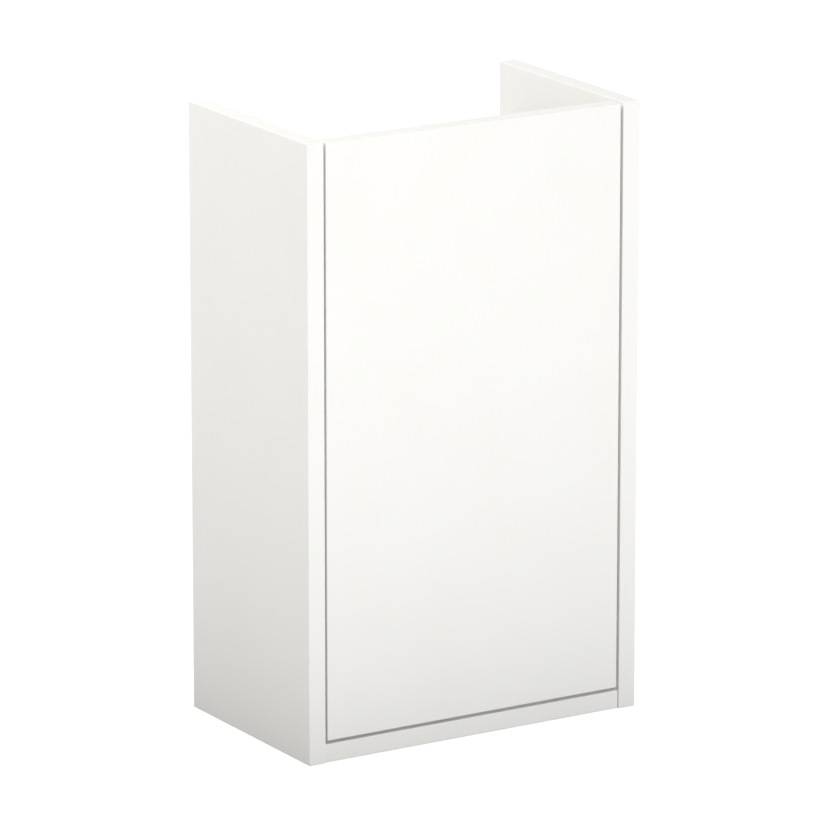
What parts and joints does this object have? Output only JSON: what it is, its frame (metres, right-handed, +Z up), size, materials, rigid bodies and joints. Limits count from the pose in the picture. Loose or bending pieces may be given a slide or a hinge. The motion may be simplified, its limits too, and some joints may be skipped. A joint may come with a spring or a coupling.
{
  "type": "vanity cabinet",
  "caption": "Wall-hung white vanity cabinet for a small hand basin, open at the top, with an inset handleless door on concealed hinges, a push latch and an inner shelf.",
  "frame": {"origin": "centre of the underside, on the surface the cabinet would stand on", "axes": "+Z up, the door faces -Y, +X to the viewer's right"},
  "size_m": [0.366, 0.22, 0.6],
  "materials": {
    "white_board": "satin white lacquer on board",
    "nickel_hinge": "nickel plated",
    "zinc_steel": "bright zinc plated",
    "cam_zinc": "raw zinc casting",
    "magnet": "nickel plated magnet",
    "spring_steel": "bright drawn spring wire",
    "white_plastic": "fine matt moulding",
    "grey_plastic": "fine matt moulding",
    "pale_plastic": "smooth acetal",
    "beech": "raw turned beech"
  },
  "bodies": {
    "carcass": {"left_side_panel": "white_board", "right_side_panel": "white_board", "bottom_panel": "white_board", "upper_rear_rail": "white_board", "lower_rear_rail": "white_board", "shelf": "white_board", "shelf_pins": "zinc_steel", "cam_locks": "cam_zinc", "cam_bolts": "zinc_steel", "cam_covers": "white_plastic", "wood_dowels": "beech", "upper_hinge_plate": "nickel_hinge", "lower_hinge_plate": "nickel_hinge", "upper_hinge_arm": "nickel_hinge", "lower_hinge_arm": "nickel_hinge", "hinge_plate_screws": "zinc_steel", "hinge_clamp_screws": "zinc_steel", "hinge_adjusting_screws": "zinc_steel", "latch_housing": "grey_plastic", "latch_screws": "zinc_steel", "latch_spring": "spring_steel"},
    "door": {"door_panel": "white_board", "upper_hinge_cup": "nickel_hinge", "lower_hinge_cup": "nickel_hinge", "upper_hinge_pin": "zinc_steel", "lower_hinge_pin": "zinc_steel", "hinge_cup_screws": "zinc_steel", "strike_plate": "zinc_steel", "strike_screws": "zinc_steel"},
    "plunger": {"latch_plunger": "pale_plastic", "latch_magnet": "magnet"}
  },
  "joints": [
    {"name": "door_swing", "type": "hinge", "parent": "carcass", "child": "door", "pos_m": [0.1486, -0.1015, 0.31], "axis": [0, 0, 1], "range_deg": [0, 105]},
    {"name": "plunger_press", "type": "slide", "parent": "carcass", "child": "plunger", "axis": [0, 1, 0], "range_m": [0, 0.003], "stiffness_N_per_m": 400, "deforming": ["latch_spring"]}
  ]
}
